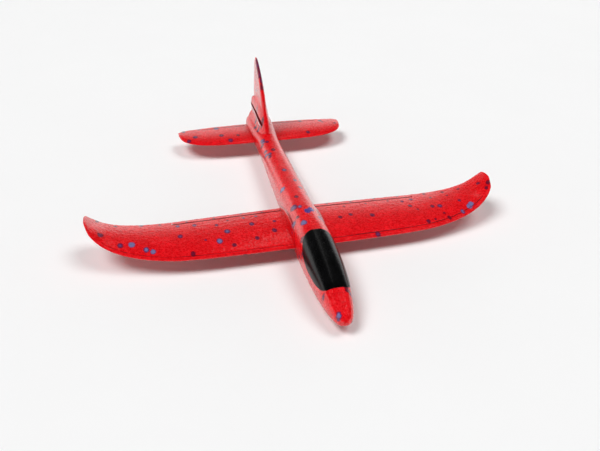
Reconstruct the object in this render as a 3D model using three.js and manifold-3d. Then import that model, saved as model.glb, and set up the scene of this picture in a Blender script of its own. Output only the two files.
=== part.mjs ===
// Hand-launch glider in expanded foam: a moulded fuselage with its fin, a one-piece wing and
// a one-piece tailplane pushed through slots, creased trailing edges that bend as flaps and
// elevators, a thin gloss canopy and a steel balance weight under it.
//
// Millimetres, +Z up. The span lies along X with the port (left) wing at +X, and the nose
// points towards -Y. The origin is the middle of the footprint, on the plane of the flat belly.
import * as THREE from 'three';
import { mergeVertices } from 'three/addons/utils/BufferGeometryUtils.js';
import Module from 'manifold-3d';

const wasm = await Module();
wasm.setup();

// ---- driving dimensions ----------------------------------------------------------------
const LENGTH = 470;            // nose tip to the end of the tail boom
const SPAN = 490;              // over the raised wing tips
const CLEARANCE = 0.3;         // gap between pieces that touch
const NOSE_Y = -LENGTH / 2;    // stations below are measured aft from the nose tip

const WING_Z = 18.5;           // height of the wing plane above the belly
const WING_THICKNESS = 9;
const FLAT_HALF_SPAN = 146;    // the wing is flat out to here, then its tips sweep up
const TIP_RISE = 27;

const TAIL_Z = 22.5;           // height of the tailplane
const TAIL_THICKNESS = 6.5;
const TAIL_SPAN = 246;
const SLOT_STEP = 30;          // the spare slot in the fin sits this far above the tailplane
const SPARE_TILT = THREE.MathUtils.degToRad(8);

const RIM_REACH = 19.2;        // half width over the rims of the wing slot
const RIM_BEVEL = 1.4;         // their rounded edge, across the body
const RIM_TAPER = 0.955;       // size of a rim's outer outline against its inner one
const RIM_CENTRE_STATION = 168;
const RIM_CENTRE_Z = 20;

const FLAP_INNER = 20;
const FLAP_OUTER = 150;
const ELEVATOR_INNER = 21.5;
const ELEVATOR_OUTER = 88;
const CREASE_BOTTOM = 0.2;     // half the width of a crease at the lower skin
const CREASE_TOP = 0.8;        // half its width at the upper skin
const STRIP_REACH = 30;        // how far aft of a crease its cutting block goes on
const STRIP_DEPTH = 5;         // how far the block goes below the lower skin
const STRIP_HEIGHT = 12;       // and above it

const CANOPY_SHELL = 0.9;
const WEIGHT_RADIUS = 5;
const WEIGHT_HEIGHT = 16;
const WEIGHT_STATION = 66;
const WEIGHT_FLOOR = 18;

const BODY_RING = 40;          // points round a fuselage section
const FOIL_STEPS = 12;         // panels along each skin of a wing section
const SILL_STEPS = 40;         // segments along the canopy's sill

// ---- materials ---------------------------------------------------------------------------
const foam = new THREE.MeshStandardMaterial({ color: 0xdc1428, roughness: 0.45, metalness: 0 });
const gloss = new THREE.MeshStandardMaterial({ color: 0x0a0a0c, roughness: 0.15, metalness: 0 });
const steel = new THREE.MeshStandardMaterial({ color: 0x8c8f94, roughness: 0.35, metalness: 1 });

// ---- general helpers ---------------------------------------------------------------------
// A smooth curve through [position, value] points that never overshoots between them.
function profile(points) {
  const slopes = points.slice(1).map(([s, v], i) => (v - points[i][1]) / (s - points[i][0]));
  const tangents = points.map((point, i) => {
    if (i === 0) return slopes[0];
    if (i === slopes.length) return slopes[i - 1];
    const product = slopes[i - 1] * slopes[i];
    return product <= 0 ? 0 : (2 * product) / (slopes[i - 1] + slopes[i]);
  });
  return (position) => {
    const last = points.length - 2;
    const i = Math.min(Math.max(points.findIndex(([s]) => s > position) - 1, 0), last);
    const segment = position >= points[last + 1][0] ? last : i;
    const [s0, v0] = points[segment];
    const [s1, v1] = points[segment + 1];
    const h = s1 - s0;
    const t = THREE.MathUtils.clamp((position - s0) / h, 0, 1);
    const fromStart = (1 + 2 * t) * (1 - t) ** 2 * v0 + t * (1 - t) ** 2 * h * tangents[segment];
    const fromEnd = t * t * (3 - 2 * t) * v1 + t * t * (t - 1) * h * tangents[segment + 1];
    return fromStart + fromEnd;
  };
}

function range(from, to, steps) {
  return Array.from({ length: steps + 1 }, (unused, i) => from + ((to - from) * i) / steps);
}

function toSolid(geometry) {
  const bare = geometry.index ? geometry.clone() : geometry;
  bare.deleteAttribute('normal');
  bare.deleteAttribute('uv');
  const merged = mergeVertices(bare, 1e-4);
  return new wasm.Manifold(new wasm.Mesh({
    numProp: 3,
    vertProperties: new Float32Array(merged.attributes.position.array),
    triVerts: new Uint32Array(merged.index.array),
  }));
}

function toMesh(name, solid, material) {
  const { vertProperties, triVerts } = solid.getMesh();
  const geometry = new THREE.BufferGeometry();
  geometry.setAttribute('position', new THREE.BufferAttribute(vertProperties, 3));
  geometry.setIndex(new THREE.BufferAttribute(triVerts, 1));
  geometry.computeVertexNormals();
  const mesh = new THREE.Mesh(geometry, material.clone());
  mesh.name = name;
  return mesh;
}

// Skin over rings of points, each ring anticlockwise about the way the rings advance.
function loft(rings) {
  const count = rings[0].length;
  const vertices = rings.flat();
  const indices = [];
  for (let r = 0; r + 1 < rings.length; r++) {
    for (let k = 0; k < count; k++) {
      const a = r * count + k;
      const b = r * count + ((k + 1) % count);
      indices.push(a, b, b + count, a, b + count, a + count);
    }
  }
  for (const [r, flip] of [[0, true], [rings.length - 1, false]]) {
    const centre = vertices.length;
    const sum = rings[r].reduce((total, point) => total.add(point), new THREE.Vector3());
    vertices.push(sum.divideScalar(count));
    for (let k = 0; k < count; k++) {
      const a = r * count + k;
      const b = r * count + ((k + 1) % count);
      indices.push(centre, flip ? b : a, flip ? a : b);
    }
  }
  const geometry = new THREE.BufferGeometry();
  geometry.setAttribute('position', new THREE.Float32BufferAttribute(
    vertices.flatMap((point) => [point.x, point.y, point.z]), 3));
  geometry.setIndex(indices);
  return toSolid(geometry);
}

// Prism across the body over a side-view outline of [y, z] pairs.
function prismAcrossX(outline, halfWidth) {
  const shape = new THREE.Shape(outline.map(([y, z]) => new THREE.Vector2(y, z)));
  const geometry = new THREE.ExtrudeGeometry(shape, { depth: 2 * halfWidth, bevelEnabled: false });
  geometry.applyMatrix4(new THREE.Matrix4().set(
    0, 0, 1, -halfWidth,
    1, 0, 0, 0,
    0, 1, 0, 0,
    0, 0, 0, 1));
  return toSolid(geometry);
}

// ---- aerofoil sections ---------------------------------------------------------------------
// Half thickness along the chord as a share of the full thickness, with a blunt trailing edge.
function halfThickness(u) {
  const front = 1.4845 * Math.sqrt(u) - 0.63 * u;
  const rear = -1.758 * u ** 2 + 1.4215 * u ** 3 - 0.5075 * u ** 4;
  return front + rear + 0.11 * u;
}

// Points round a section as [chordwise, across] pairs, anticlockwise from the leading edge
// along the lower skin. Growing it by a margin keeps the same shape with a gap all round.
function foil({ front, rear, thickness, camber = 0 }, margin = 0) {
  const chord = rear - front;
  const shares = range(0, Math.PI, FOIL_STEPS).map((a) => (1 - Math.cos(a)) / 2);
  const at = (u, side) => {
    const bow = camber * 4 * u * (1 - u);
    const across = bow + side * (halfThickness(u) * thickness + margin);
    return [front - margin + u * (chord + 2 * margin), across];
  };
  const lower = shares.map((u) => at(u, -1));
  const upper = shares.map((u) => at(u, 1)).reverse();
  return margin > 0 ? [...lower, ...upper] : [...lower, ...upper.slice(0, -1)];
}

const ringAcrossX = (x, z, points) => points.map(([y, h]) => new THREE.Vector3(x, NOSE_Y + y, z + h));
const ringAcrossZ = (z, points) => points.map(([y, w]) => new THREE.Vector3(-w, NOSE_Y + y, z));

// ---- wing --------------------------------------------------------------------------------
const wingFront = profile([[0, 127.5], [60, 128], [110, 129], [140, 131], [165, 135], [190, 141.5],
  [210, 149], [228, 159], [240, 170.5], [245, 186]]);
const wingRear = profile([[0, 213], [60, 211.5], [150, 209], [190, 207.5], [215, 207], [235, 207],
  [243, 205], [245, 200]]);
const wingRise = profile([[0, 0], [FLAT_HALF_SPAN, 0], [175, 1.2], [200, 4.2], [222, 10],
  [237, 19], [245, TIP_RISE]]);
const wingDepth = profile([[0, 1], [120, 0.95], [175, 0.85], [215, 0.75], [238, 0.6], [245, 0.32]]);

function wingSection(x) {
  const span = Math.abs(x);
  const section = {
    front: wingFront(span),
    rear: wingRear(span),
    thickness: WING_THICKNESS * wingDepth(span),
    camber: 1.6 * wingDepth(span),
  };
  return { section, z: WING_Z + wingRise(span) };
}

function wingSolid() {
  const half = [0, 30, 60, 90, 120, 134, 146, 156, 166, 176, 186, 196, 206, 216, 225, 232, 238,
    242, SPAN / 2];
  const stations = [...half.slice(1).map((x) => -x).reverse(), ...half];
  return loft(stations.map((x) => {
    const { section, z } = wingSection(x);
    return ringAcrossX(x, z, foil(section));
  }));
}

// ---- tailplane -----------------------------------------------------------------------------
const tailFront = profile([[0, 390], [60, 391], [85, 394], [100, 399], [112, 407], [120, 419],
  [123, 432]]);
const tailRear = profile([[0, 455], [60, 453.5], [100, 450], [115, 448], [123, 444]]);
const tailDepth = profile([[0, 1], [60, 0.95], [100, 0.8], [118, 0.62], [123, 0.3]]);

function tailSection(x) {
  const span = Math.abs(x);
  const thickness = TAIL_THICKNESS * tailDepth(span);
  return { section: { front: tailFront(span), rear: tailRear(span), thickness }, z: TAIL_Z };
}

function tailSolid() {
  const half = [0, 30, 60, 76, 90, 100, 108, 114, 119, TAIL_SPAN / 2];
  const stations = [...half.slice(1).map((x) => -x).reverse(), ...half];
  return loft(stations.map((x) => {
    const { section, z } = tailSection(x);
    return ringAcrossX(x, z, foil(section));
  }));
}

// ---- creases ---------------------------------------------------------------------------
// A trailing-edge strip is parted by a crease, open upwards, that hinges on the lower skin.
const flapCrease = profile([[FLAP_INNER, 204], [FLAP_OUTER, 200.5]]);
const elevatorCrease = profile([[ELEVATOR_INNER, 448], [ELEVATOR_OUTER, 445]]);

function lowerSkin({ section, z }, station) {
  const u = (station - section.front) / (section.rear - section.front);
  const bow = (section.camber ?? 0) * 4 * u * (1 - u);
  return z + bow - halfThickness(u) * section.thickness;
}

// Everything behind one wall of a crease, between two stations of the span.
function behindCrease(crease, sectionAt, side, inner, outer, wallSide) {
  const block = (x) => {
    const hinge = NOSE_Y + crease(Math.abs(x));
    const skin = lowerSkin(sectionAt(x), crease(Math.abs(x)));
    const outline = [
      [hinge + wallSide * CREASE_BOTTOM, skin - STRIP_DEPTH],
      [hinge + STRIP_REACH, skin - STRIP_DEPTH],
      [hinge + STRIP_REACH, skin + STRIP_HEIGHT],
      [hinge + wallSide * (CREASE_TOP + 3 * (CREASE_TOP - CREASE_BOTTOM)), skin + STRIP_HEIGHT],
      [hinge + wallSide * CREASE_BOTTOM, skin],
    ];
    return outline.map(([y, z]) => new THREE.Vector3(x, y, z));
  };
  const ends = side > 0 ? [inner, outer] : [-outer, -inner];
  return loft(ends.map(block));
}

function creased(body, crease, sectionAt, inner, outer) {
  let main = body;
  const strips = [1, -1].map((side) => {
    const gapEnds = [inner - CLEARANCE, outer + CLEARANCE];
    main = main.subtract(behindCrease(crease, sectionAt, side, ...gapEnds, -1));
    return body.intersect(behindCrease(crease, sectionAt, side, inner, outer, 1));
  });
  return { main, strips };
}

// ---- fuselage ------------------------------------------------------------------------------
const bodyHalfWidth = profile([[0, 2.5], [4, 7.5], [15, 12], [40, 16.6], [80, 19.7], [120, 20.5],
  [160, 18.8], [200, 18], [250, 17.5], [300, 17], [350, 16], [380, 16], [400, 17.4], [430, 18.9],
  [450, 19.4], [460, 18.2], [466, 15.5], [LENGTH, 10]]);
const bodyTop = profile([[0, 16.5], [4, 21], [15, 27.5], [40, 38], [80, 45.5], [120, 48.5],
  [160, 47], [200, 44.5], [250, 41.5], [300, 39.3], [350, 38], [400, 38.3], [440, 39.5],
  [452, 39.5], [460, 38], [466, 35], [LENGTH, 29]]);
const bodyWaist = profile([[0, 15], [15, 17], [40, 19.5], [120, 22], [LENGTH, 23]]);
const bodyBottom = profile([[0, 13], [4, 10], [15, 7], [40, 3.5], [80, 0.5], [110, -0.5],
  [210, -0.5], [250, 1.5], [300, 5], [350, 8], [400, 9.5], [450, 10], [460, 11], [466, 13.5],
  [LENGTH, 18]]);
const SHOULDER = 2.5;          // how square the upper half of a section is: 2 is an ellipse
const BELLY = 2.8;

function bodyRing(station, grow) {
  const width = bodyHalfWidth(station) + grow;
  const waist = bodyWaist(station);
  const above = bodyTop(station) + grow - waist;
  const below = waist - bodyBottom(station) + grow;
  return range(0, 2 * Math.PI, BODY_RING).slice(0, -1).map((angle) => {
    const upper = Math.cos(angle) > 0;
    const power = 2 / (upper ? SHOULDER : BELLY);
    const up = Math.sign(Math.cos(angle)) * Math.abs(Math.cos(angle)) ** power;
    const out = Math.sign(Math.sin(angle)) * Math.abs(Math.sin(angle)) ** power;
    const height = waist + up * (upper ? above : below);
    return new THREE.Vector3(out * width, NOSE_Y + station, height);
  });
}

function bodyLoft(grow = 0) {
  const nose = [0, 1, 2.5, 4.5, 7.5, 11, 15, 21, 28, 36];
  const middle = range(46, 206, 10);
  const boom = range(222, 452, 12);
  const tail = [458, 462.5, 466, 468.5, LENGTH];
  return loft([...nose, ...middle, ...boom, ...tail].map((station) => bodyRing(station, grow)));
}

// ---- fin -----------------------------------------------------------------------------------
const finFront = profile([[28, 384], [40, 390], [60, 397], [78, 404], [88, 411.5], [106, 429],
  [119, 447], [124, 456]]);
const finRear = profile([[28, 469], [90, 467], [117, 465], [124, 463.5]]);
const finDepth = profile([[28, 9.5], [45, 8.5], [80, 7], [110, 5.2], [120, 4], [124, 2.2]]);
const FIN_NOSE = 6;            // length over which the leading edge rounds off
const FIN_TAIL_SHARE = 0.85;   // thickness of the square trailing edge against the rest

// The fin is a slab with a rounded leading edge and a square trailing edge.
function finRing(z) {
  const front = finFront(z);
  const rear = finRear(z);
  const half = finDepth(z) / 2;
  const noseLength = Math.min(FIN_NOSE, (rear - front) / 2);
  const nose = range(0, Math.PI / 2, 5).map((angle) => [
    front + noseLength * (1 - Math.cos(angle)), half * Math.sin(angle)]);
  const port = [...nose, [rear, half * FIN_TAIL_SHARE]];
  const starboard = port.slice(1).reverse();
  return ringAcrossZ(z, [...port.map(([station, w]) => [station, -w]), ...starboard]);
}

function finSolid() {
  const heights = [...range(28, 110, 10), 116, 120, 122.5, 124];
  return loft(heights.map(finRing));
}

// The foot of the fin flares towards the broad tail and carries the spare tailplane slot.
const footFront = profile([[30, 374], [44, 381], [60, 393], [75, 404]]);
const footRear = profile([[30, 463], [44, 460], [53, 458.5], [62, 457.5], [67, 456.5], [70, 453],
  [75, 438]]);
const footWidthFront = profile([[30, 9], [36, 8.4], [47, 7.2], [60, 5.6], [75, 3.6]]);
const footWidthRear = profile([[30, 15], [38, 13.5], [42, 11], [46, 9.4], [50, 9.6], [55, 10.6],
  [61, 10.2], [66, 9.4], [69, 8], [71, 5], [75, 3.4]]);
const FOOT_NOSE = 22;          // length over which the front of the foot rounds off
const FOOT_TAIL = 3.5;

function footRing(z) {
  const front = footFront(z);
  const rear = footRear(z);
  const widthAt = (station) => THREE.MathUtils.mapLinear(
    station, front, rear, footWidthFront(z), footWidthRear(z));
  const nose = range(0, Math.PI / 2, 5).map((angle) => {
    const station = front + FOOT_NOSE * (1 - Math.cos(angle));
    return [station, widthAt(station) * Math.sin(angle) ** 0.8];
  });
  const flank = [0.25, 0.5, 0.75].map((share) => {
    const station = THREE.MathUtils.lerp(front + FOOT_NOSE, rear - FOOT_TAIL, share);
    return [station, widthAt(station)];
  });
  const tail = range(0, Math.PI / 2, 4).map((angle) => {
    const station = rear - FOOT_TAIL * (1 - Math.sin(angle));
    return [station, widthAt(station) - FOOT_TAIL * (1 - Math.cos(angle))];
  });
  const starboard = [...nose, ...flank, ...tail];
  const port = starboard.slice(1).reverse().map(([station, w]) => [station, -w]);
  return ringAcrossZ(z, [...starboard, ...port].map(([station, w]) => [station, -w]));
}

function footSolid() {
  const heights = [30, 34, 38, 43, 46, 49, 54, 58, 62, 66, 68, 69.5, 71, 73, 75];
  return loft(heights.map(footRing));
}

// ---- fuselage with its lips, slots, canopy recess and weight pocket --------------------------
const wingRoot = wingSection(0);
const tailRoot = tailSection(0);
const spareRoot = { ...tailRoot, z: TAIL_Z + SLOT_STEP, tilt: SPARE_TILT };
const THROUGH = 60;            // reach of a cutter that passes right out of the body

// A slot with a gap all round the section that goes through it.
function slot({ section, z, tilt = 0 }) {
  const middle = NOSE_Y + (section.front + section.rear) / 2;
  const ring = (x) => ringAcrossX(x, 0, foil(section, CLEARANCE)).map((point) => point
    .sub(new THREE.Vector3(0, middle, 0))
    .applyAxisAngle(new THREE.Vector3(1, 0, 0), tilt)
    .add(new THREE.Vector3(0, middle, z)));
  return loft([ring(-THROUGH), ring(THROUGH)]);
}

// The raised rim round each side of the wing slot: a tall arch over the wing, shallow below.
function wingRim() {
  const outline = new THREE.CatmullRomCurve3([
    [215, 19], [205, 25.5], [190, 31], [172, 35.5], [154, 36.5], [139, 33.5], [129, 26], [122, 17],
    [128, 10], [150, 8], [180, 9], [206, 12],
  ].map(([station, z]) => new THREE.Vector3(0, NOSE_Y + station, z)), true);
  const points = outline.getPoints(44).slice(0, -1);
  const centre = new THREE.Vector3(0, NOSE_Y + RIM_CENTRE_STATION, RIM_CENTRE_Z);
  const ring = (x, scale) => points.map((point) => {
    const moved = point.clone().sub(centre).multiplyScalar(scale).add(centre);
    return moved.setX(x);
  });
  const inner = RIM_REACH - RIM_BEVEL;
  return loft([ring(-RIM_REACH, RIM_TAPER), ring(-inner, 1), ring(inner, 1),
    ring(RIM_REACH, RIM_TAPER)]);
}

function cylinderAt(radius, bottom, top) {
  const geometry = new THREE.CylinderGeometry(radius, radius, top - bottom, 24);
  geometry.rotateX(Math.PI / 2);
  geometry.translate(0, NOSE_Y + WEIGHT_STATION, (top + bottom) / 2);
  return toSolid(geometry);
}

// Everything above the canopy's sill, which is a curve in side view.
function canopyRegion(grow) {
  const sill = new THREE.SplineCurve([
    [32, 60], [32, 40], [33.5, 32.5], [40, 28.8], [57, 25.8], [75, 26], [92, 30], [103, 36.5],
    [111, 42.5], [116.5, 47.5], [120, 53], [121, 60],
  ].map(([station, z]) => new THREE.Vector2(NOSE_Y + station, z)));
  const outline = range(0, 1, SILL_STEPS).map((t) => {
    const point = sill.getPoint(t);
    const along = sill.getTangent(t);
    return [point.x + along.y * grow, point.y - along.x * grow];
  });
  return prismAcrossX(outline, THROUGH);
}

function canopySolid() {
  const shell = bodyLoft(CLEARANCE).subtract(bodyLoft(CLEARANCE - CANOPY_SHELL));
  return shell.intersect(canopyRegion(0));
}

function weightSolid() {
  return cylinderAt(WEIGHT_RADIUS, WEIGHT_FLOOR, WEIGHT_FLOOR + WEIGHT_HEIGHT);
}

function fuselageSolid() {
  let body = bodyLoft();
  for (const piece of [finSolid(), footSolid(), wingRim()]) {
    body = body.add(piece);
  }
  for (const root of [wingRoot, tailRoot, spareRoot]) {
    body = body.subtract(slot(root));
  }
  const recess = canopyRegion(CLEARANCE).subtract(bodyLoft(-CANOPY_SHELL));
  const pocket = cylinderAt(WEIGHT_RADIUS + CLEARANCE, WEIGHT_FLOOR - CLEARANCE, THROUGH);
  const bench = prismAcrossX(
    [[-LENGTH, -THROUGH], [LENGTH, -THROUGH], [LENGTH, 0], [-LENGTH, 0]], THROUGH);
  return body.subtract(recess).subtract(pocket).subtract(bench);
}

// ---- assembly ------------------------------------------------------------------------------
const glider = new THREE.Group();
glider.add(toMesh('fuselage', fuselageSolid(), foam));
glider.add(toMesh('canopy', canopySolid(), gloss));
glider.add(toMesh('nose_weight', weightSolid(), steel));

const wingParts = creased(wingSolid(), flapCrease, wingSection, FLAP_INNER, FLAP_OUTER);
glider.add(toMesh('wing', wingParts.main, foam));
glider.add(toMesh('flap_left', wingParts.strips[0], foam));
glider.add(toMesh('flap_right', wingParts.strips[1], foam));

const tailParts = creased(tailSolid(), elevatorCrease, tailSection, ELEVATOR_INNER, ELEVATOR_OUTER);
glider.add(toMesh('tailplane', tailParts.main, foam));
glider.add(toMesh('elevator_left', tailParts.strips[0], foam));
glider.add(toMesh('elevator_right', tailParts.strips[1], foam));

export default glider;
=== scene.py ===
"""Hand-launch glider in red beaded foam with a gloss black canopy, standing on a pale floor.

Lengths inside this script are millimetres until a mesh is made, and stations are measured aft
from the nose tip, as in the CAD source.
"""

import math

import bpy
import numpy as np
from mathutils import Matrix, Vector
from mathutils.kdtree import KDTree


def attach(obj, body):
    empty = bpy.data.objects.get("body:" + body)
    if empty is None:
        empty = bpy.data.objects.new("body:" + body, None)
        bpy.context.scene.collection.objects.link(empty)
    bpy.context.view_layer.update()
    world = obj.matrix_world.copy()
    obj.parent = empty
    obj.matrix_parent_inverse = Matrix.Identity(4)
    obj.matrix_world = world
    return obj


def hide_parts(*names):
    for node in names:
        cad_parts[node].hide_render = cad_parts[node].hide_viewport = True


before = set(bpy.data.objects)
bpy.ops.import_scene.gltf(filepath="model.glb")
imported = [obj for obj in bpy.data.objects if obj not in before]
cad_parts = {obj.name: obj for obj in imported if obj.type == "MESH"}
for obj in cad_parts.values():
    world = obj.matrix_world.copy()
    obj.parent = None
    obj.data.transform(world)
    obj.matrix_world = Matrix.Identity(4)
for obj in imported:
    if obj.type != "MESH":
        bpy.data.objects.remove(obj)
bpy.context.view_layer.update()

MM = 0.001
NOSE_Y = -235.0
HALF_SPAN = 245.0
HALF_TAIL = 123.0
CLEARANCE = 0.3

WING_Z, WING_THICKNESS, WING_CAMBER = 18.5, 9.0, 1.6
TAIL_Z, TAIL_THICKNESS = 22.5, 6.5
SLOT_STEP, SPARE_TILT = 30.0, math.radians(8)
RIM_REACH, RIM_BEVEL, RIM_TAPER = 19.2, 1.4, 0.955
CANOPY_SHELL = 0.9
WEIGHT_STATION, WEIGHT_RADIUS, WEIGHT_FLOOR = 66.0, 5.0, 18.0

BEAD = 4.6            # how far apart the beads of the foam are
BEAD_RELIEF = 0.16    # depth of the seams between them
RELIEF_SEAM, PAINTED_SEAM = 0.16, 0.12    # widths of the seams, as a share of a bead
BLUE_SHARE = 0.012    # of the beads that the lists of spots below don't place
GROOVE_WIDTH = 0.7    # of the mould's parting line behind the wing's leading edge
GROOVE_DEPTH = 0.45
GROOVE_END = 16       # how far from the tip that line ends
GROOVE_SHADE = {True: 0.45, False: 0.2}    # half of its width of painted shade, to port and to starboard
TRAIL_ROUND, TIP_ROUND = 1.1, 1.3    # lengths over which those edges of the foils close
FLAP_SPAN, ELEVATOR_SPAN = (20, 150), (21.5, 88)
HINGE_GAP, CREASE_SPREAD = 0.2, 2.6    # half widths of a crease at the web and above the skin
SKIN_VOXEL = 0.9
LIP_WIDTH, RIM_CREASE_WIDTH = 1.3, 0.8    # of the painted highlight on the spare slot's lip and the painted shade round the rim
CANOPY_EDGE_DROP, CANOPY_EDGE_WIDTH = 0.35, 1.0
CANOPY_RIPPLE, CANOPY_RIPPLE_SIZE = 0.05, 5.4

CAMERA_AZIMUTH, CAMERA_ELEVATION, CAMERA_ROLL = -14.67, 33.79, 1.26    # degrees
CAMERA_AIM, CAMERA_DISTANCE = (12.99, 0, -25.87), 810.03
CAMERA_LENS, CAMERA_SENSOR = 37.174, 36


# ---- curves --------------------------------------------------------------------------------
def profile(*points):
    """A smooth curve through (position, value) points that never overshoots between them."""
    place, value = np.array(points, float).T
    slope = np.diff(value) / np.diff(place)
    tangent = np.concatenate([slope[:1], np.zeros(len(slope) - 1), slope[-1:]])
    product = slope[:-1] * slope[1:]
    rising = product > 0
    tangent[1:-1][rising] = 2 * product[rising] / (slope[:-1] + slope[1:])[rising]

    def curve(position):
        position = np.asarray(position, float)
        k = np.clip(np.searchsorted(place, position, side="right") - 1, 0, len(slope) - 1)
        step = place[k + 1] - place[k]
        t = np.clip((position - place[k]) / step, 0, 1)
        start = (1 + 2 * t) * (1 - t) ** 2 * value[k] + t * (1 - t) ** 2 * step * tangent[k]
        end = t * t * (3 - 2 * t) * value[k + 1] + t * t * (t - 1) * step * tangent[k + 1]
        return start + end

    return curve


wing_front = profile((0, 127.5), (60, 128), (110, 129), (140, 131), (165, 135), (190, 141.5),
                     (210, 149), (228, 159), (240, 170.5), (245, 186))
wing_rear = profile((0, 213), (60, 211.5), (150, 209), (190, 207.5), (215, 207), (235, 207),
                    (243, 205), (245, 200))
wing_rise = profile((0, 0), (146, 0), (175, 1.2), (200, 4.2), (222, 10), (237, 19), (245, 27))
wing_depth = profile((0, 1), (120, 0.95), (175, 0.85), (215, 0.75), (238, 0.6), (245, 0.32))
tail_front = profile((0, 390), (60, 391), (85, 394), (100, 399), (112, 407), (120, 419),
                     (123, 432))
tail_rear = profile((0, 455), (60, 453.5), (100, 450), (115, 448), (123, 444))
tail_depth = profile((0, 1), (60, 0.95), (100, 0.8), (118, 0.62), (123, 0.3))
flap_crease = profile((FLAP_SPAN[0], 204), (FLAP_SPAN[1], 200.5))
elevator_crease = profile((ELEVATOR_SPAN[0], 448), (ELEVATOR_SPAN[1], 445))

body_half_width = profile((0, 2.5), (4, 7.5), (15, 12), (40, 16.6), (80, 19.7), (120, 20.5),
                          (160, 18.8), (200, 18), (250, 17.5), (300, 17), (350, 16), (380, 16),
                          (400, 17.4), (430, 18.9), (450, 19.4), (460, 18.2), (466, 15.5),
                          (470, 10))
body_top = profile((0, 16.5), (4, 21), (15, 27.5), (40, 38), (80, 45.5), (120, 48.5), (160, 47),
                   (200, 44.5), (250, 41.5), (300, 39.3), (350, 38), (400, 38.3), (440, 39.5),
                   (452, 39.5), (460, 38), (466, 35), (470, 29))
body_waist = profile((0, 15), (15, 17), (40, 19.5), (120, 22), (470, 23))
body_bottom = profile((0, 13), (4, 10), (15, 7), (40, 3.5), (80, 0.5), (110, -0.5), (210, -0.5),
                      (250, 1.5), (300, 5), (350, 8), (400, 9.5), (450, 10), (460, 11),
                      (466, 13.5), (470, 18))
SHOULDER, BELLY = 2.5, 2.8

fin_front = profile((28, 384), (40, 390), (60, 397), (78, 404), (88, 411.5), (106, 429),
                    (119, 447), (124, 456))
fin_rear = profile((28, 469), (90, 467), (117, 465), (124, 463.5))
fin_depth = profile((28, 9.5), (45, 8.5), (80, 7), (110, 5.2), (120, 4), (124, 2.2))
FIN_NOSE, FIN_TAIL_SHARE = 6.0, 0.85
foot_front = profile((30, 374), (44, 381), (60, 393), (75, 404))
foot_rear = profile((30, 463), (44, 460), (53, 458.5), (62, 457.5), (67, 456.5), (70, 453),
                    (75, 438))
foot_width_front = profile((30, 9), (36, 8.4), (47, 7.2), (60, 5.6), (75, 3.6))
foot_width_rear = profile((30, 15), (38, 13.5), (42, 11), (46, 9.4), (50, 9.6), (55, 10.6),
                          (61, 10.2), (66, 9.4), (69, 8), (71, 5), (75, 3.4))
FOOT_NOSE, FOOT_TAIL = 22.0, 3.5

sill = profile((31.6, 46), (32, 40), (32.35, 35.2), (32.75, 33.8), (33.5, 32.5), (40, 28.8),
               (57, 25.8), (75, 26), (92, 30), (103, 36.5), (111, 42.5), (116.5, 47.5),
               (120, 53), (121, 60))


# ---- sections ------------------------------------------------------------------------------
def half_thickness(u):
    """Half an aerofoil's thickness, for a full thickness of 1, at a share u of its chord."""
    front = 1.4845 * np.sqrt(u) - 0.63 * u
    rear = -1.758 * u**2 + 1.4215 * u**3 - 0.5075 * u**4
    return front + rear + 0.11 * u


def foil(front, rear, thickness, camber=0.0, margin=0.0, steps=96, rounded=True, groove=None):
    """Points round a section as (station, height) rows, from the nose along the lower skin."""
    even = np.linspace(0, 1, steps + 1)
    shares = 0.6 * even + 0.4 * (1 - np.cos(math.pi * even)) / 2
    shares[1:4] = (even[1:4] * 0.6) ** 1.6 * 3
    chord = rear - front
    depth = half_thickness(shares) * thickness + margin
    if rounded:
        edge = 1 - TRAIL_ROUND / chord
        inside = np.clip((shares - edge) / (1 - edge), 0, 1)
        depth = depth * np.sqrt(1 - 0.85 * inside**2)
    bow = camber * 4 * shares * (1 - shares)
    along = front - margin + shares * (chord + 2 * margin)
    upper = bow + depth
    if groove is not None:
        behind = (along - front - groove) / GROOVE_WIDTH
        upper = upper - GROOVE_DEPTH * np.exp(-(behind**2))
    lower = np.stack([along, bow - depth], 1)
    upper = np.stack([along, upper], 1)[::-1]
    return np.concatenate([lower, upper if margin > 0 else upper[:-1]])


def wing_at(x):
    """The wing's section at x: front and rear station, thickness, camber and height."""
    span = abs(x)
    depth = float(wing_depth(span))
    return (float(wing_front(span)), float(wing_rear(span)), WING_THICKNESS * depth,
            WING_CAMBER * depth, WING_Z + float(wing_rise(span)))


def tail_at(x):
    """The tailplane's section at x, in the same order."""
    span = abs(x)
    return (float(tail_front(span)), float(tail_rear(span)),
            TAIL_THICKNESS * float(tail_depth(span)), 0.0, TAIL_Z)


def body_ring(station, angles, grow=0.0):
    """Points on the body's skin at angles from its top; grow moves the skin outwards."""
    station, angles = np.broadcast_arrays(station, angles)
    width = body_half_width(station) + grow
    waist = body_waist(station)
    above = body_top(station) + grow - waist
    below = waist - body_bottom(station) + grow
    up, out = np.cos(angles), np.sin(angles)
    power = 2 / np.where(up > 0, SHOULDER, BELLY)
    rise = np.sign(up) * np.abs(up) ** power
    reach = np.sign(out) * np.abs(out) ** power
    height = waist + rise * np.where(up > 0, above, below)
    return np.stack([reach * width, NOSE_Y + station, height], -1)


# ---- meshes --------------------------------------------------------------------------------
def make_object(name, points, faces):
    """An object in the scene, from points in millimetres."""
    mesh = bpy.data.meshes.new(name)
    mesh.from_pydata((np.asarray(points, float) * MM).tolist(), [], faces)
    mesh.update()
    made = bpy.data.objects.new(name, mesh)
    bpy.context.scene.collection.objects.link(made)
    return made


def loft(name, rings):
    """A closed skin over rings of points, anticlockwise about the way the rings advance."""
    rings = np.asarray(rings, float)
    rows, count = rings.shape[:2]
    r, k = np.meshgrid(np.arange(rows - 1), np.arange(count), indexing="ij")
    a, b = r * count + k, r * count + (k + 1) % count
    faces = np.stack([a, b, b + count, a + count], -1).reshape(-1, 4).tolist()
    faces.append(list(range(count))[::-1])
    faces.append(list(range((rows - 1) * count, rows * count)))
    return make_object(name, rings.reshape(-1, 3), faces)


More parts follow.
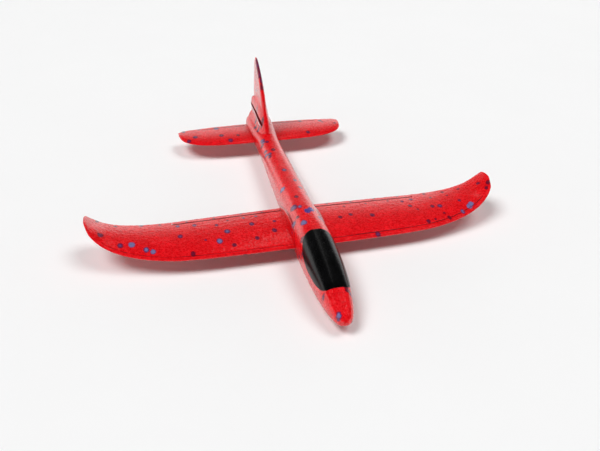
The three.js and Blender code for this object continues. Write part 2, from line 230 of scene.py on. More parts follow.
def prism_across(name, outline, half_width):
    """A prism across the body over a side-view outline of (y, z) rows, anticlockwise."""
    outline = np.asarray(outline, float)
    return loft(name, [np.column_stack([np.full(len(outline), x), outline])
                       for x in (-half_width, half_width)])


def settle(made):
    """Turns an object's modifiers into its own mesh."""
    graph = bpy.context.evaluated_depsgraph_get()
    mesh = bpy.data.meshes.new_from_object(made.evaluated_get(graph), depsgraph=graph)
    made.modifiers.clear()
    old = made.data
    made.data = mesh
    mesh.name = made.name
    bpy.data.meshes.remove(old)


def drop_doubled_faces(mesh):
    """Makes a mesh plain triangles, without the pairs of slivers, back to back, that a boolean
    cut can leave."""
    mesh.calc_loop_triangles()
    corners = np.empty(len(mesh.loop_triangles) * 3, np.int32)
    mesh.loop_triangles.foreach_get("vertices", corners)
    points, place = np.unique(np.round(vertex_array(mesh) / MM, 4), axis=0, return_inverse=True)
    triangles = place.ravel()[corners].reshape(-1, 3)
    ordered = np.sort(triangles, axis=1)
    whole = (np.diff(ordered, axis=1) > 0).all(axis=1)
    _, group, count = np.unique(ordered, axis=0, return_inverse=True, return_counts=True)
    triangles = triangles[whole & (count[group.ravel()] == 1)]
    used, triangles = np.unique(triangles, return_inverse=True)
    mesh.clear_geometry()
    mesh.from_pydata((points[used] * MM).tolist(), [], triangles.reshape(-1, 3).tolist())


def combine(target, tools, operation):
    """Joins, cuts or trims the target with the tools, and removes them."""
    for tool in tools:
        cut = target.modifiers.new("cut", "BOOLEAN")
        cut.operation = operation
        cut.solver = "MANIFOLD"
        cut.object = tool
    settle(target)
    drop_doubled_faces(target.data)
    for tool in tools:
        bpy.data.objects.remove(tool)
    return target


def vertex_array(mesh, field="co"):
    """A mesh's vertex positions, or its vertex normals, as rows."""
    values = np.empty(len(mesh.vertices) * 3, np.float32)
    if field == "normal":
        mesh.vertex_normals.foreach_get("vector", values)
    else:
        mesh.vertices.foreach_get(field, values)
    return values.reshape(-1, 3).astype(float)


# ---- beads ---------------------------------------------------------------------------------
def scrambled(cells, salt):
    """Numbers from 0 to 1 that stay the same for the same cell and salt."""
    x, y, z = (cells[:, i].astype(np.int64).astype(np.uint64) for i in range(3))
    mixed = x * np.uint64(73856093) ^ y * np.uint64(19349663) ^ z * np.uint64(83492791)
    mixed = (mixed + np.uint64(salt) * np.uint64(2654435761)) & np.uint64(0xFFFFFFFF)
    for _ in range(2):
        mixed = ((mixed >> np.uint64(16)) ^ mixed) * np.uint64(0x45D9F3B) & np.uint64(0xFFFFFFFF)
    mixed = (mixed >> np.uint64(16)) ^ mixed
    return mixed.astype(float) / 0xFFFFFFFF


def beads_at(points, size=BEAD):
    """For each point: its bead's grid cell, and how far it lies inside the bead's border."""
    base = np.floor(points / size).astype(int)
    nearest = np.full(len(points), 1e9)
    second = np.full(len(points), 1e9)
    owner = np.zeros((len(points), 3), int)
    for offset in np.ndindex(3, 3, 3):
        cells = base + np.array(offset) - 1
        jitter = np.stack([scrambled(cells, salt) for salt in (1, 2, 3)], 1)
        centres = (cells + 0.5 + 0.85 * (jitter - 0.5)) * size
        away = np.linalg.norm(points - centres, axis=1)
        closer = away < nearest
        second = np.where(closer, nearest, np.minimum(second, away))
        owner[closer] = cells[closer]
        nearest = np.where(closer, away, nearest)
    return owner, (second - nearest) / size


def press_beads(made):
    """Sinks the seams between the beads, and some beads a little, into the skin."""
    mesh = made.data
    points = vertex_array(mesh) / MM
    normals = vertex_array(mesh, "normal")
    owner, inside = beads_at(points)
    level = scrambled(owner, 7)
    seam = np.exp(-((inside / RELIEF_SEAM) ** 2))
    depth = BEAD_RELIEF * (seam + 0.45 * level)
    depth[points[:, 2] < 0.3] = 0    # the flat belly stays flat
    moved = (points - normals * depth[:, None]) * MM
    mesh.vertices.foreach_set("co", moved.astype(np.float32).ravel())
    mesh.update()


def paint_beads(made, spots, side_spots, painted_light):
    """Stores four values at each vertex: whether its bead is a blue one, the bead's tone, how
    near a seam is, and the painted light, 0.5 for none, 1 for painted highlight, 0 for painted
    shade.

    spots are (x, station, size, tone) of the blue beads that show from above, and side_spots
    are (station, z, size, tone) of those on the starboard side of the fin and boom.
    """
    mesh = made.data
    points = vertex_array(mesh) / MM
    normals = vertex_array(mesh, "normal")
    owner, inside = beads_at(points)
    tone = scrambled(owner, 13)
    blue = (scrambled(owner, 11) < BLUE_SHARE).astype(float)
    blue[normals[:, 2] > 0.15] = 0
    upward = normals[:, 2] > 0.05
    starboard = normals[:, 0] < -0.6
    shaken = points + 0.45 * np.sin(points[:, [1, 2, 0]] * 2.1 + 1.7)
    station_at = shaken[:, 1] - NOSE_Y
    rounds = [(np.hypot(shaken[:, 0] - x, (station_at - station) / 1.35), upward, size, shade)
              for x, station, size, shade in spots]
    rounds += [(np.hypot(station_at - station, shaken[:, 2] - z), starboard, size, shade)
               for station, z, size, shade in side_spots]
    for away, shown, size, shade in rounds:
        cover = np.clip((0.52 * size - away) / 1.3 + 0.5, 0, 1) * shown
        centre = shade + (0.35 if size > 5.5 else 0.1)
        shaded = np.clip(centre - 0.6 * np.clip(2 * away / size, 0, 1) ** 2, 0, 0.9)
        tone = np.where(cover > 0, shaded if shade < 1 else 1.0, tone)
        blue = np.maximum(blue, cover)
    # the painted light: above 0.5 a painted highlight, below it painted shade
    painted_light_level = 0.5 + 0.5 * (painted_light(points, normals) if painted_light else np.zeros(len(tone)))
    seam = np.exp(-((inside / PAINTED_SEAM) ** 2))
    values = np.stack([blue, tone, seam, painted_light_level], 1)
    layer = mesh.attributes.new("beads", "FLOAT_COLOR", "POINT")
    layer.data.foreach_set("color", values.astype(np.float32).ravel())


# ---- wing and tailplane ----------------------------------------------------------------------
def surface_rings(section_at, half_span, spacing, groove=None):
    """Sections from one tip to the other, with rounded tips. groove gives, for an x, how far
    the parting line lies behind the leading edge."""
    flat = np.arange(0, half_span - TIP_ROUND, spacing)
    end = half_span - TIP_ROUND + TIP_ROUND * np.sin(np.linspace(0, math.pi / 2, 6))
    half = np.concatenate([flat, end])
    rings = []
    for x in np.concatenate([-half[:0:-1], half]):
        front, rear, thickness, camber, z = section_at(x)
        inset = max(0.0, abs(x) - half_span + TIP_ROUND) / TIP_ROUND
        grooved = groove and abs(x) < half_span - GROOVE_END
        outline = foil(front, rear, thickness, camber, groove=groove(x) if grooved else None)
        middle = np.array([(front + rear) / 2, 0])
        closing = (1 - math.sqrt(max(0.0, 1 - inset**2))) * np.array([0.12, 0.7])
        outline = middle + (outline - middle) * (1 - closing)
        rings.append(np.column_stack([np.full(len(outline), x), NOSE_Y + outline[:, 0],
                                      z + outline[:, 1]]))
    return rings


def lower_skin(section, station):
    """The height of a section's lower skin at a station."""
    front, rear, thickness, camber, z = section
    u = (station - front) / (rear - front)
    return z + camber * 4 * u * (1 - u) - half_thickness(u) * thickness


def behind_crease(crease, section_at, side, inner, outer, wall):
    """Everything behind one wall of a crease, from the inner to the outer end of a strip. The
    wall is 1 for the strip's own and -1 for the main piece's."""
    def block(x):
        hinge = NOSE_Y + float(crease(abs(x)))
        skin = float(lower_skin(section_at(x), crease(abs(x))))
        web, top = hinge + wall * HINGE_GAP, hinge + wall * CREASE_SPREAD
        return [(x, web, skin - 5), (x, hinge + 30, skin - 5), (x, hinge + 30, skin + 12),
                (x, top, skin + 12), (x, web, skin)]

    ends = (inner, outer) if side > 0 else (-outer, -inner)
    return loft("block", [block(x) for x in ends])


def creased(names, rings, crease, section_at, strip_span):
    """The main piece and its two trailing strips, cut from one skin."""
    inner, outer = strip_span
    made = []
    for name, side in zip(names[1:], (1, -1)):
        strip = loft(name, rings)
        press_beads(strip)
        block = behind_crease(crease, section_at, side, inner, outer, 1)
        made.append(combine(strip, [block], "INTERSECT"))
    main = loft(names[0], rings)
    press_beads(main)
    blocks = [behind_crease(crease, section_at, side, inner - CLEARANCE, outer + CLEARANCE, -1)
              for side in (1, -1)]
    return [combine(main, blocks, "DIFFERENCE"), *made]


# ---- fuselage --------------------------------------------------------------------------------
def body_loft(name, grow=0.0):
    """The nose, belly and boom."""
    stations = np.concatenate([
        [0, 0.4, 1, 1.8, 2.8, 4, 5.5, 7.5], np.arange(10, 40, 2.0), np.arange(40, 450, 4.0),
        np.arange(450, 466, 2.0), [466, 467.2, 468.3, 469.2, 470]])
    angles = np.linspace(0, 2 * math.pi, 121)[:-1]
    return loft(name, body_ring(stations[:, None], angles[None, :], grow))


def fin_loft():
    """The fin: a slab with a rounded leading edge, thinner towards its tip."""
    rings = []
    turn = np.linspace(0, math.pi / 2, 9)
    for z in np.concatenate([np.arange(28, 118, 3.0), [118, 120, 121.5, 122.7, 123.5, 124]]):
        front, rear, half = float(fin_front(z)), float(fin_rear(z)), float(fin_depth(z)) / 2
        nose_length = min(FIN_NOSE, (rear - front) / 2)
        port = np.column_stack([front + nose_length * (1 - np.cos(turn)), half * np.sin(turn)])
        port = np.concatenate([port, [[rear, half * FIN_TAIL_SHARE]]])
        outline = np.concatenate([port * [1, -1], port[:0:-1]])
        rings.append(np.column_stack([-outline[:, 1], NOSE_Y + outline[:, 0],
                                      np.full(len(outline), z)]))
    return loft("fin", rings)


def foot_loft():
    """The foot that flares round the fin."""
    rings = []
    for z in np.concatenate([np.arange(30, 48, 3.0), np.arange(48, 75.1, 1.5)]):
        front, rear = float(foot_front(z)), float(foot_rear(z))
        widths = [float(foot_width_front(z)), float(foot_width_rear(z))]

        def wide(station):
            return np.interp(station, [front, rear], widths)

        turn = np.linspace(0, math.pi / 2, 14)
        nose = front + FOOT_NOSE * (1 - np.cos(turn))
        flank = np.linspace(front + FOOT_NOSE, rear - FOOT_TAIL, 12)[1:-1]
        tail = rear - FOOT_TAIL * (1 - np.sin(turn))
        half = np.concatenate([
            np.column_stack([nose, wide(nose) * np.sin(turn) ** 0.8]),
            np.column_stack([flank, wide(flank)]),
            np.column_stack([tail, wide(tail) - FOOT_TAIL * (1 - np.cos(turn))])])
        outline = np.concatenate([half, half[:0:-1] * [1, -1]])
        rings.append(np.column_stack([outline[:, 1], NOSE_Y + outline[:, 0],
                                      np.full(len(outline), z)]))
    return loft("foot", np.asarray(rings)[:, ::-1])


def rim_outline(steps):
    """The closed outline of the wing's rim, seen from the side, as (station, z) points."""
    knots = np.array([(215, 19), (205, 25.5), (190, 31), (172, 35.5), (154, 36.5), (139, 33.5),
                      (129, 26), (122, 17), (128, 10), (150, 8), (180, 9), (206, 12)], float)
    points = []
    for i in range(len(knots)):
        p0, p1, p2, p3 = (knots[(i + j) % len(knots)] for j in (-1, 0, 1, 2))
        for t in np.linspace(0, 1, steps, endpoint=False):
            points.append(0.5 * (2 * p1 + (p2 - p0) * t + (2 * p0 - 5 * p1 + 4 * p2 - p3) * t**2
                                 + (3 * p1 - p0 - 3 * p2 + p3) * t**3))
    return np.array(points)


def wing_rim():
    """The raised rim round both sides of the wing slot."""
    points = rim_outline(8)
    centre = np.array([168, 20])
    rings = []
    bend = np.linspace(0, math.pi / 2, 5)
    port = [(RIM_REACH - RIM_BEVEL * (1 - math.sin(a)),
             1 - (1 - RIM_TAPER) * (1 - math.cos(a))) for a in bend]
    for x, scale in [(-x, scale) for x, scale in port[::-1]] + port:
        outline = centre + (points - centre) * scale
        rings.append(np.column_stack([np.full(len(outline), x), NOSE_Y + outline[:, 0],
                                      outline[:, 1]]))
    return loft("rim", rings)


# The slots through the body: the section that each one takes, its height and its tilt.
SLOTS = [(wing_at(0), WING_Z, 0.0), (tail_at(0), TAIL_Z, 0.0),
         (tail_at(0), TAIL_Z + SLOT_STEP, SPARE_TILT)]


def slot_cutter(section, z, tilt):
    """A slot's section, with clearance all round, drawn right through the body."""
    front, rear, thickness, camber, _ = section
    outline = foil(front, rear, thickness, camber, CLEARANCE + 0.05, steps=60, rounded=False)
    middle = np.array([(front + rear) / 2, 0])
    turn = np.array([[math.cos(tilt), -math.sin(tilt)], [math.sin(tilt), math.cos(tilt)]])
    outline = (outline - middle) @ turn.T + middle
    return loft("slot", [np.column_stack([np.full(len(outline), x), NOSE_Y + outline[:, 0],
                                          z + outline[:, 1]]) for x in (-60.0, 60.0)])


def place_in_slot(slot, y, z):
    """Where points lie in a slot, seen from the side: their share of its chord, how far above
    its middle line they are, and how far from that line its wall is."""
    (front, rear, thickness, camber, _), height, tilt = slot
    along, across = y - NOSE_Y - (front + rear) / 2, z - height
    share = (along * math.cos(tilt) + across * math.sin(tilt)) / (rear - front) + 0.5
    rise = across * math.cos(tilt) - along * math.sin(tilt)
    u = np.clip(share, 0, 1)
    return share, rise - camber * 4 * u * (1 - u), half_thickness(u) * thickness


def in_a_slot(y, z):
    """Whether a point, seen from the side, lies in a slot or on its wall."""
    places = [place_in_slot(slot, y, z) for slot in SLOTS]
    return any(-0.01 < share < 1.01 and abs(rise) < wall + 0.6 for share, rise, wall in places)


def fuselage_painted_light(points, normals):
    """1 for the painted highlight on the lower lip of the spare slot, -1 for the painted shade
    in the crease round the wing's rim.
    """
    share, rise, wall = place_in_slot(SLOTS[2], points[:, 1], points[:, 2])
    below = -rise - wall - CLEARANCE
    on_lip = (below > -0.2) & (share > 0.1) & (share < 0.97) & (np.abs(normals[:, 0]) > 0.4)
    outline = rim_outline(30)
    nearest = KDTree(len(outline))
    for i, (station, z) in enumerate(outline):
        nearest.insert((0, NOSE_Y + station, z), i)
    nearest.balance()
    # painted shade: dark red along the crease where the wing's rim meets the body
    crease = np.zeros(len(points))
    station_at = points[:, 1] - NOSE_Y
    by_the_rim = (np.abs(points[:, 0]) > 8) & (station_at > 115) & (station_at < 222)
    for i in np.nonzero(by_the_rim)[0]:
        away = nearest.find((0, points[i, 1], points[i, 2]))[2]
        crease[i] = math.exp(-((away / RIM_CREASE_WIDTH) ** 2))
    return np.exp(-((below / LIP_WIDTH) ** 2)) * on_lip - crease


def recess_cutter():
    """The room for the canopy: all above the sill, down to the shell's inner face."""
    stations = np.concatenate([np.linspace(31.7, 36, 30), np.linspace(37, 121, 70)])
    line = np.column_stack([NOSE_Y + stations, sill(stations)])
    along = np.gradient(line, axis=0)
    along /= np.linalg.norm(along, axis=1)[:, None]
    line = line + np.column_stack([along[:, 1], -along[:, 0]]) * CLEARANCE
    outline = np.concatenate([line, [[line[-1, 0], 70], [line[0, 0], 70]]])
    region = prism_across("recess", outline, 40)
    return combine(region, [body_loft("core", -CANOPY_SHELL)], "DIFFERENCE")


def cylinder(name, radius, low, high, station):
    """An upright cylinder over the body's middle line."""
    angles = np.linspace(0, 2 * math.pi, 33)[:-1]
    ring = np.column_stack([radius * np.cos(angles), NOSE_Y + station + radius * np.sin(angles)])
    return loft(name, [np.column_stack([ring, np.full(len(ring), z)]) for z in (low, high)])


def fuselage():
    """The body, fin, foot and rim as one softened and beaded skin, cut for what it holds."""
    made = body_loft("fuselage_foam")
    combine(made, [fin_loft(), foot_loft(), wing_rim()], "UNION")
    even = made.modifiers.new("even", "REMESH")
    even.mode = "VOXEL"
    even.voxel_size = SKIN_VOXEL * MM
    soften = made.modifiers.new("soften", "SMOOTH")
    soften.factor = 0.5
    soften.iterations = 2
    settle(made)
    press_beads(made)
    bench = prism_across("bench", [(-400, -30), (400, -30), (400, 0), (-400, 0)], 60)
    pocket = cylinder("pocket", WEIGHT_RADIUS + 0.4, WEIGHT_FLOOR - 0.4, 60, WEIGHT_STATION)
    cutters = [slot_cutter(*slot) for slot in SLOTS]
    return combine(made, [*cutters, recess_cutter(), pocket, bench], "DIFFERENCE")


# ---- canopy ----------------------------------------------------------------------------------
def canopy():
    """A thin shell that follows the body's shape, with its rim turned down a little."""
    stations = np.linspace(31.0, 122.0, 4000)
    above = body_top(stations) + CLEARANCE > sill(stations) + 0.05
    first, last = stations[above][[0, -1]]
    rows, columns = 130, 72
    share = (1 - np.cos(np.linspace(0, math.pi, rows))) / 2
    station = first + (last - first) * share

    def skin(grow):
        height = (sill(station) - body_waist(station)) / (
            body_top(station) + grow - body_waist(station))
        widest = np.arccos(np.clip(height, 0, 0.9995) ** (SHOULDER / 2))
        angles = widest[:, None] * np.linspace(-1, 1, columns)[None, :]
        return body_ring(station[:, None], angles, grow)

    outer, inner = skin(CLEARANCE), skin(CLEARANCE - CANOPY_SHELL)
    edge = np.concatenate([outer[:, 0], outer[:, -1], outer[0], outer[-1]])
    away = np.min(np.linalg.norm(outer[:, :, None] - edge[None, None, ::2], axis=-1), axis=2)
    drop = CANOPY_EDGE_DROP * np.clip(1 - away / CANOPY_EDGE_WIDTH, 0, 1) ** 2
    _, inside = beads_at(outer.reshape(-1, 3), CANOPY_RIPPLE_SIZE)
    drop += CANOPY_RIPPLE * np.exp(-((inside.reshape(away.shape) / 0.3) ** 2))
    outer[:, :, 2] -= drop
    n = rows * columns
    points = np.concatenate([outer.reshape(-1, 3), inner.reshape(-1, 3)])
    r, c = np.meshgrid(np.arange(rows - 1), np.arange(columns - 1), indexing="ij")
    a = (r * columns + c).ravel()
    top = np.stack([a, a + columns, a + columns + 1, a + 1], 1)
    faces = [*top.tolist(), *(top[:, ::-1] + n).tolist()]
    rim = [*range(columns), *(i * columns + columns - 1 for i in range(1, rows)),
           *(n - 2 - i for i in range(columns - 1)),
           *((rows - 2 - i) * columns for i in range(rows - 2))]
    for i, j in zip(rim, rim[1:] + rim[:1]):
        faces.append([i, j, j + n, i + n])
    return make_object("canopy_shell", points, faces)


# ---- materials -------------------------------------------------------------------------------
def new_material(name, **inputs):
    """A material, its nodes and its shader, with the given values on the shader's sockets."""
    material = bpy.data.materials.new(name)
    material.use_nodes = True
    shader = material.node_tree.nodes["Principled BSDF"]
    for socket, value in inputs.items():
        shader.inputs[socket.replace("_", " ")].default_value = value
    return material, material.node_tree, shader


def add(tree, kind, **settings):
    """A new node; each setting is one of its inputs, or else one of its properties."""
    node = tree.nodes.new(kind)
    for name, value in settings.items():
        if name in node.inputs:
            node.inputs[name].default_value = value
        else:
            setattr(node, name, value)
    return node


def mix(tree, factor, first, second):
    """A blend from the first colour to the second."""
    node = add(tree, "ShaderNodeMix", data_type="RGBA")
    for socket, value in ((node.inputs[0], factor), (node.inputs[6], first),
                          (node.inputs[7], second)):
        if isinstance(value, bpy.types.NodeSocket):
            tree.links.new(value, socket)
        else:
            socket.default_value = value
    return node.outputs[2]


def ramp(tree, source, *stops):
    """A colour or grey value for each place from 0 to 1, as (place, value) stops."""
    node = add(tree, "ShaderNodeValToRGB")
    elements = node.color_ramp.elements
    while len(elements) < len(stops):
        elements.new(0.5)
    for element, (place, value) in zip(elements, stops):
        element.position = place
        element.color = (value, value, value, 1) if isinstance(value, (int, float)) else value
    tree.links.new(source, node.inputs[0])
    return node.outputs[0]


def noise(tree, scale, detail=3.0, roughness=0.55):
    """Noise that is fixed to the object; scale is in ripples per metre."""
    place = add(tree, "ShaderNodeTexCoord")
    node = add(tree, "ShaderNodeTexNoise", Scale=scale, Detail=detail, Roughness=roughness)
    tree.links.new(place.outputs["Object"], node.inputs["Vector"])
    return node.outputs[0]


def foam_material():
    """Red foam with a moulded skin, blue and violet beads, pale seams between beads, a painted
    highlight on the spare slot's lip and painted shade round the wing's rim.
    """
    material, tree, shader = new_material("red_foam", Specular_IOR_Level=0.15, Coat_Weight=1.0,
                                          Coat_Roughness=0.14)
    beads = add(tree, "ShaderNodeAttribute", attribute_name="beads")
    parts = add(tree, "ShaderNodeSeparateColor")
    tree.links.new(beads.outputs["Color"], parts.inputs[0])
    speck, tone, seam = parts.outputs
    cloud = noise(tree, 45, 2.0)
    fine = noise(tree, 620, 5.0, 0.65)
    red = mix(tree, ramp(tree, cloud, (0.35, 0), (0.7, 1)), (0.74, 0.003, 0.007, 1),
              (0.86, 0.006, 0.012, 1))
    mottle = noise(tree, 310, 4.0, 0.7)
    red = mix(tree, ramp(tree, mottle, (0.42, 0.7), (0.52, 0.0)), red, (0.56, 0.001, 0.004, 1))
    red = mix(tree, ramp(tree, mottle, (0.54, 0.0), (0.68, 0.6)), red, (0.90, 0.035, 0.045, 1))
    red = mix(tree, ramp(tree, tone, (0.0, 0.0), (1.0, 0.35)), red, (0.52, 0.001, 0.004, 1))
    red = mix(tree, ramp(tree, seam, (0.2, 0.0), (1.0, 0.35)), red, (0.80, 0.015, 0.02, 1))
    blue = ramp(tree, tone, (0.0, (0.110, 0.004, 0.018, 1)), (0.35, (0.095, 0.009, 0.050, 1)),
                (0.6, (0.080, 0.026, 0.115, 1)), (0.85, (0.13, 0.16, 0.35, 1)),
                (0.93, (0.13, 0.16, 0.35, 1)), (1.0, (0.004, 0.025, 0.24, 1)))
    colour = mix(tree, ramp(tree, speck, (0.2, 0.0), (0.8, 0.92)), red, blue)
    # the painted light from paint_beads
    painted_light = beads.outputs["Alpha"]
    # painted highlight: pale pink on the spare slot's lower lip
    painted_highlight = ramp(tree, painted_light, (0.55, 0.0), (0.85, 0.95))
    # painted shade: dark red in the crease round the wing's rim
    crease = ramp(tree, painted_light, (0.1, 0.75), (0.45, 0.0))
    colour = mix(tree, painted_highlight, colour, (1.0, 0.86, 0.84, 1))
    colour = mix(tree, crease, colour, (0.22, 0.001, 0.004, 1))
    tree.links.new(colour, shader.inputs["Base Color"])
    tree.links.new(ramp(tree, fine, (0.3, 0.22), (0.7, 0.36)), shader.inputs["Roughness"])
    bump = add(tree, "ShaderNodeBump", Strength=0.4, Distance=0.0007)
    tree.links.new(fine, bump.inputs["Height"])
    tree.links.new(bump.outputs[0], shader.inputs["Normal"])
    return material


def painted_shade_material():
    """Painted shade: dark red for the faces inside a crease, a slot or the wing's parting line.
    """
    material, tree, shader = new_material("painted_shade_foam", Roughness=0.7)
    colour = mix(tree, noise(tree, 500, 2.0), (0.10, 0.001, 0.003, 1), (0.20, 0.002, 0.006, 1))
    tree.links.new(colour, shader.inputs["Base Color"])
    return material


def canopy_material():
    """Gloss black, a little uneven."""
    material, tree, shader = new_material("canopy_black", Specular_IOR_Level=0.35)
    colour = mix(tree, ramp(tree, noise(tree, 60), (0.4, 0), (0.7, 1)),
                 (0.0015, 0.0015, 0.0016, 1), (0.003, 0.003, 0.0033, 1))
    tree.links.new(colour, shader.inputs["Base Color"])
    tree.links.new(ramp(tree, noise(tree, 260, 4.0), (0.3, 0.2), (0.75, 0.3)),
                   shader.inputs["Roughness"])
    bump = add(tree, "ShaderNodeBump", Strength=0.25, Distance=0.0003)
    tree.links.new(noise(tree, 330, 2.0), bump.inputs["Height"])
    tree.links.new(bump.outputs[0], shader.inputs["Normal"])
    return material


def steel_material():
    """Plain turned steel."""
    material, tree, shader = new_material("weight_steel", Metallic=1.0)
    shader.inputs["Base Color"].default_value = (0.42, 0.42, 0.44, 1)
    tree.links.new(ramp(tree, noise(tree, 900, 2.0), (0.3, 0.28), (0.7, 0.42)),
                   shader.inputs["Roughness"])
    return material


# ---- the glider ------------------------------------------------------------------------------
# Most places in the next three lists were not chosen by hand: another program made them, by
# casting points picked in the reference photograph onto the CAD model.
# Blue beads on the upper side: x, station, size and tone, from 0 for violet to 1 for deep blue.
WING_SPOTS = [
    (-232, 204, 4, 0.1), (-228, 175, 6, 0.1), (-213, 201, 4, 0.1), (-208, 160, 6, 0.35),
    (-196, 162, 7, 0.9), (-185, 205, 5, 0.55), (-181, 152, 6, 0.6), (-174, 148, 6, 0.8),
    (-164, 204, 3, 0.1), (-144, 195, 5, 0.75), (-143, 171, 6, 0.35), (-133, 204, 3, 0.05),
    (-132, 137, 5, 0.1), (-125, 192, 5, 0.7), (-116, 157, 3, 0.6), (-101, 205, 3, 0.05),
    (-101, 152, 7, 0.7), (-100, 186, 4, 0.6), (-90, 169, 7, 0.5), (-86, 194, 3, 0.1),
    (-86, 142, 5, 0.3), (-68, 209, 3, 0.5), (-67, 196, 4, 0.6), (-60, 179, 6, 0.35),
    (-59, 149, 5, 0.35), (-52, 196, 4, 0.6), (-43, 206, 3, 0.05), (-37, 159, 6, 0.2),
    (-33, 179, 4, 0.6), (40, 209, 3, 0.05), (45, 170, 5, 0.3), (58, 195, 3, 0.1),
    (59, 173, 5, 0.4), (70, 207, 3, 0.05), (79, 131, 6, 0.3), (84, 166, 6, 0.15),
    (86, 196, 3, 0.1), (101, 208, 3, 0.05), (115, 196, 3, 0.1), (132, 208, 4, 0.05),
    (132, 190, 4, 0.6), (137, 177, 5, 0.4), (143, 167, 3, 0.1), (145, 193, 5, 0.6),
    (146, 141, 5, 0.3), (156, 143, 3, 0.1), (163, 169, 5, 0.4), (167, 204, 4, 0.05),
    (170, 190, 3, 0.1), (171, 152, 3, 0.1), (172, 167, 6, 0.4), (174, 143, 5, 0.1),
    (190, 199, 4, 0.1), (191, 187, 3, 0.1), (194, 149, 5, 0.85), (199, 170, 4, 0.55),
    (205, 155, 6, 0.9), (209, 158, 6, 0.95), (210, 196, 4, 0.1), (232, 188, 4, 0.4),
    (235, 173, 4, 0.2), (240, 179, 5, 0.1),
]
TAIL_SPOTS = [
    (-115, 444, 6, 0.2), (-110, 410, 6, 0.3), (-100, 419, 7, 0.3), (-66, 446, 8, 0.5),
    (-62, 416, 7, 0.2), (-51, 399, 7, 0.35), (-38, 412, 5, 0.2), (-92, 447, 4, 0.1),
    (64, 447, 6, 0.1), (66, 402, 6, 0.2), (95, 442, 6, 0.1), (97, 435, 4, 0.2),
    (115, 427, 4, 0.5),
]
BODY_SPOTS = [
    (-6, 7, 5, 0.85), (12, 27, 4, 0.5), (9, 30, 5, 0.1), (-15, 32, 3, 0.5), (-19, 99, 3, 0.4),
    (-16, 112, 5, 0.1), (-9, 135, 7, 0.75), (14, 144, 8, 0.6), (-18, 148, 6, 0.6),
    (-12, 151, 4, 0.1), (1, 157, 7, 1.0), (6, 160, 7, 1.0), (-5, 169, 5, 0.9),
    (-11, 173, 8, 0.4), (-3, 194, 5, 0.4), (13, 203, 4, 0.5), (8, 218, 5, 0.6),
    (-13, 224, 6, 0.7), (6, 238, 5, 0.6), (-1, 268, 6, 0.5), (-9, 322, 6, 0.45),
    (-13, 325, 5, 0.7), (-2, 332, 6, 0.05), (-5, 358, 5, 0.5), (-10, 362, 6, 0.6),
    (-10, 315, 5, 0.45), (-12, 335, 5, 0.5), (-13, 355, 5, 0.3), (-10, 367, 6, 0.5),
    (-5, 393, 5, 0.05), (-10, 399, 5, 0.5), (-12, 412, 5, 0.3), (-9, 421, 5, 0.1),
    (0, 418, 5, 0.1), (1, 425, 5, 0.5), (0, 432, 6, 0.2), (0, 439, 6, 0.0), (0, 446, 6, 0.3),
    (0, 453, 6, 0.1),
]

# Blue beads on the starboard side of the fin: station, z, size and tone.
FIN_SPOTS = [
    (446, 103, 3, 0.6), (452, 96, 2.5, 0.6), (459, 99, 2, 0.7), (450, 78, 3, 0.6),
    (428, 84, 2, 0.3), (440, 66, 2.5, 0.5), (437, 57, 4, 0.2), (426, 51, 5, 0.0),
    (446, 49, 3, 0.4),
]

foam, gloss, steel = foam_material(), canopy_material(), steel_material()
painted_shade = painted_shade_material()


def finish_piece(made, body, node, material, spots=None, side_spots=(), angle=38,
                 in_shade=None, painted_light=None):
    """Shades, paints and places a piece. Edges sharper than the angle stay sharp, and in_shade
    tells which faces lie in a crease, slot or parting line and get the painted shade."""
    for polygon in made.data.polygons:
        polygon.use_smooth = True
    made.data.set_sharp_from_angle(angle=math.radians(angle))
    if spots is not None:
        paint_beads(made, spots, side_spots, painted_light)
    made.data.materials.clear()
    made.data.materials.append(material)
    if in_shade is not None:
        # faces in a crease, slot or parting line get the painted shade
        made.data.materials.append(painted_shade)
        for polygon in made.data.polygons:
            if in_shade(polygon.center / MM, polygon.normal):
                polygon.material_index = 1
    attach(made, body)
    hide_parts(node)


def slot_face(centre, normal):
    """Whether a face of the fuselage lies inside one of its slots, and gets the painted shade.
    """
    return abs(normal.x) < 0.5 and abs(centre.x) < 18.6 and in_a_slot(centre.y, centre.z)


def crease_face(crease):
    """A test for the faces that lie inside a crease."""
    return lambda centre, normal: (
        abs(normal.y) > 0.9 and abs(centre.y - NOSE_Y - crease(abs(centre.x))) < 1.3)


def parting_line(x):
    """How far behind the leading edge the mould's parting line runs on the wing's upper skin."""
    return 6.2 if x > 0 else 4.2


def wing_shade(centre, normal):
    """Whether a face of the wing lies in the parting line or in a flap's crease, and gets the
    painted shade.
    """
    behind = centre.y - NOSE_Y - wing_at(centre.x)[0]
    on_line = (normal.z > 0.2 and abs(centre.x) < HALF_SPAN - GROOVE_END - 2
               and abs(behind - parting_line(centre.x)) < GROOVE_SHADE[centre.x > 0])
    return on_line or crease_face(flap_crease)(centre, normal)


finish_piece(fuselage(), "airframe", "fuselage", foam, BODY_SPOTS, FIN_SPOTS, angle=50,
             in_shade=slot_face, painted_light=fuselage_painted_light)
finish_piece(canopy(), "airframe", "canopy", gloss)

wing_rings = surface_rings(wing_at, HALF_SPAN, 0.98, groove=parting_line)
wing_pieces = creased(["wing_foam", "flap_left_foam", "flap_right_foam"], wing_rings,
                      flap_crease, wing_at, FLAP_SPAN)
for made, body, node in zip(wing_pieces, ("airframe", "flap_left", "flap_right"),
                            ("wing", "flap_left", "flap_right")):
    finish_piece(made, body, node, foam, WING_SPOTS, in_shade=wing_shade)

tail_rings = surface_rings(tail_at, HALF_TAIL, 0.9)
tail_pieces = creased(["tailplane_foam", "elevator_left_foam", "elevator_right_foam"],
                      tail_rings, elevator_crease, tail_at, ELEVATOR_SPAN)
for made, name in zip(tail_pieces, ("tailplane", "elevator_left", "elevator_right")):
    finish_piece(made, name, name, foam, TAIL_SPOTS,
                 in_shade=crease_face(elevator_crease))

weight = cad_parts["nose_weight"]
weight.data.materials.clear()
weight.data.materials.append(steel)


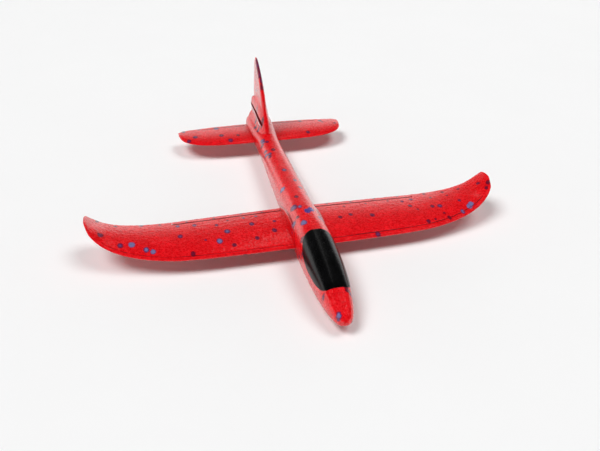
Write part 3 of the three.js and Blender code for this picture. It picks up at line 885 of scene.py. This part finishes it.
# ---- floor, light and camera -----------------------------------------------------------------
def make_floor():
    """A wide pale floor just under the belly."""
    reach, level = 8000, -0.3
    floor = make_object("floor", [(-reach, -reach, level), (reach, -reach, level),
                                  (reach, reach, level), (-reach, reach, level)],
                        [[0, 1, 2, 3]])
    material, tree, shader = new_material("pale_floor", Roughness=0.75, Specular_IOR_Level=0.2)
    colour = mix(tree, noise(tree, 6), (0.88, 0.88, 0.88, 1), (0.90, 0.90, 0.90, 1))
    tree.links.new(colour, shader.inputs["Base Color"])
    floor.data.materials.append(material)


def new_light(name, kind, direction, energy):
    """A light that shines from a direction towards the middle of the glider."""
    data = bpy.data.lights.new(name, kind)
    data.energy = energy
    light = bpy.data.objects.new(name, data)
    bpy.context.scene.collection.objects.link(light)
    light.rotation_mode = "QUATERNION"
    light.rotation_quaternion = Vector(direction).normalized().to_track_quat("Z", "Y")
    return light, data


def strip_light(name, direction, distance, size, energy):
    """A long lamp that draws a streak of light on the canopy and the body."""
    light, data = new_light(name, "AREA", direction, energy)
    data.shape = "RECTANGLE"
    data.size, data.size_y = size
    light.location = Vector(direction).normalized() * distance


def wide_light(name, direction, strength):
    """A soft light from far off, which leaves no highlight."""
    light, data = new_light(name, "SUN", direction, strength)
    data.angle = math.radians(30)
    light.visible_glossy = False


def make_world():
    """A studio that is white below and dark above, so that gloss faces look up into the dark."""
    world = bpy.data.worlds.new("studio")
    bpy.context.scene.world = world
    world.use_nodes = True
    tree = world.node_tree
    place = add(tree, "ShaderNodeTexCoord")
    split = add(tree, "ShaderNodeSeparateXYZ")
    tree.links.new(place.outputs["Generated"], split.inputs[0])
    shade = ramp(tree, split.outputs[2], (0.0, 1.0), (0.24, 1.0), (0.29, 0.45), (0.34, 0.13),
                 (0.40, 0.035), (0.5, 0.012), (1.0, 0.012))
    background = tree.nodes["Background"]
    tree.links.new(shade, background.inputs[0])
    background.inputs[1].default_value = 1.3


def make_camera():
    """A camera off the starboard bow, turned about its own axis by the roll."""
    azimuth, elevation, roll = (
        math.radians(v) for v in (CAMERA_AZIMUTH, CAMERA_ELEVATION, CAMERA_ROLL))
    back = Vector((math.sin(azimuth) * math.cos(elevation),
                   -math.cos(azimuth) * math.cos(elevation), math.sin(elevation)))
    level = Vector((math.cos(azimuth), math.sin(azimuth), 0))
    upright = back.cross(level)
    right = level * math.cos(roll) + upright * math.sin(roll)
    up = upright * math.cos(roll) - level * math.sin(roll)
    place = (Vector(CAMERA_AIM) + back * CAMERA_DISTANCE) * MM
    data = bpy.data.cameras.new("camera")
    data.sensor_width = CAMERA_SENSOR
    data.lens = CAMERA_LENS
    camera = bpy.data.objects.new("camera", data)
    bpy.context.scene.collection.objects.link(camera)
    camera.matrix_world = Matrix.Translation(place) @ Matrix(
        [list(row) for row in zip(right, up, back)]).to_4x4()
    bpy.context.scene.camera = camera


make_floor()
make_world()
wide_light("left", (-0.48, -0.05, 0.87), 2.1)
wide_light("right", (0.45, -0.05, 0.89), 1.2)
strip_light("ridge_strip", (0.13, 0.50, 0.86), 1.9, (0.12, 1.2), 0.5)
strip_light("port_strip", (0.74, 0.59, 0.33), 1.9, (0.14, 0.9), 0.15)
make_camera()
bpy.context.scene.view_settings.view_transform = "Standard"
